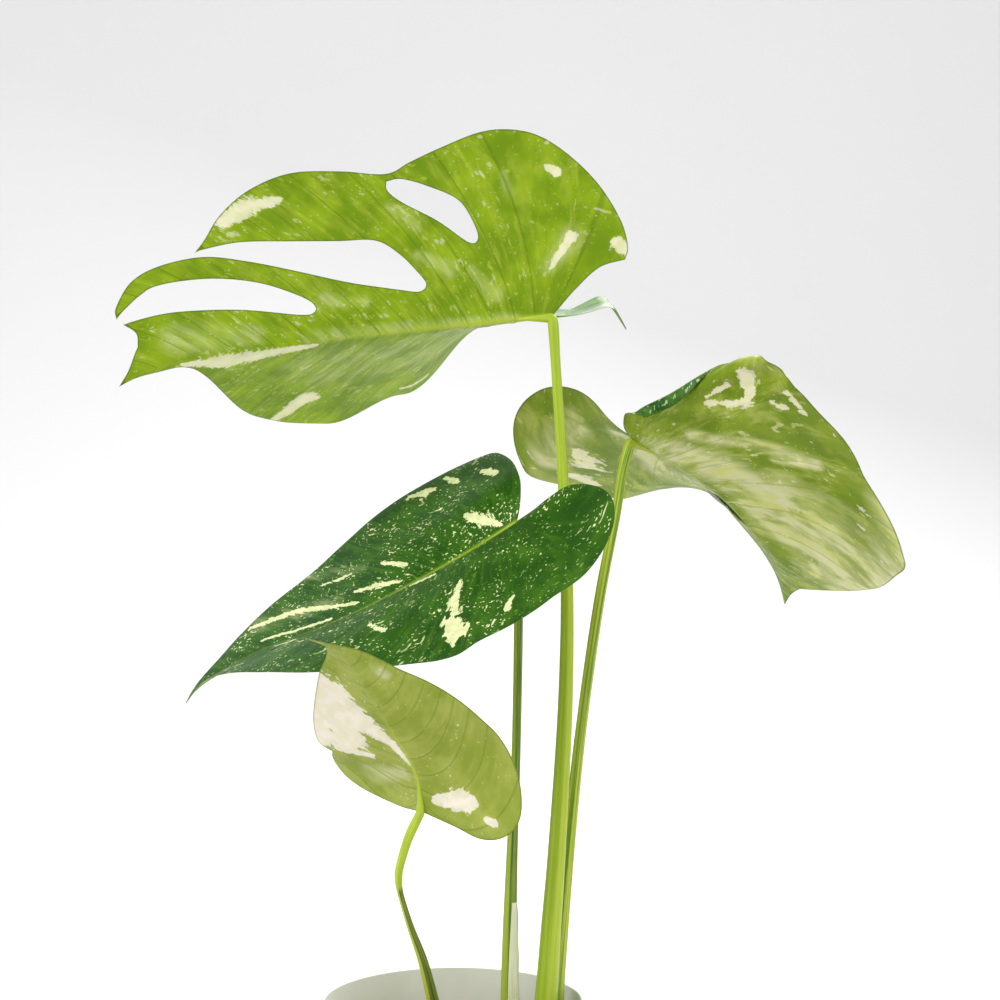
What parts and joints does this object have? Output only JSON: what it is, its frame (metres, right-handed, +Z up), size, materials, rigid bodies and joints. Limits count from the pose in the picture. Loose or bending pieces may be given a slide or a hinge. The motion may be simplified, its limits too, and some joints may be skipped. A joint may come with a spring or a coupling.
{
  "type": "potted monstera plant",
  "caption": "Young variegated monstera with split and heart-shaped leaves on long stalks, in a plain round nursery pot.",
  "frame": {"origin": "the middle of the pot's flat base, on the surface that it stands on", "axes": "+Z up out of the pot, along its axis; -Y towards the viewer, the side on which the small leaf hangs; +X to the viewer's right"},
  "size_m": [0.4201, 0.2434, 0.5807],
  "materials": {
    "pot_plastic": "smooth satin grey-white plastic",
    "potting_mix": "rough loose bark chips and peat",
    "stem_skin": "matt green-brown plant skin",
    "top_leaf_blade": "satin yellow-green leaf with cream patches",
    "right_leaf_blade": "satin green leaf with pale bands along its veins",
    "dark_leaf_blade": "glossy dark green leaf with cream speckles",
    "small_leaf_blade": "satin olive-green leaf with cream patches",
    "top_leaf_petiole": "satin light green leaf stalk",
    "right_leaf_petiole": "satin green leaf stalk with pale stripes",
    "dark_leaf_petiole": "satin dark green leaf stalk",
    "small_leaf_petiole": "satin green leaf stalk with a pale stripe",
    "leaf_sheath": "matt pale green sheath"
  },
  "bodies": {
    "root": {"pot": "pot_plastic", "potting_mix": "potting_mix", "stem": "stem_skin", "dark_leaf_sheath": "leaf_sheath", "top_leaf_blade": "top_leaf_blade", "top_leaf_petiole": "top_leaf_petiole", "right_leaf_blade": "right_leaf_blade", "right_leaf_petiole": "right_leaf_petiole", "dark_leaf_blade": "dark_leaf_blade", "dark_leaf_petiole": "dark_leaf_petiole", "small_leaf_blade": "small_leaf_blade", "small_leaf_petiole": "small_leaf_petiole"}
  },
  "joints": []
}
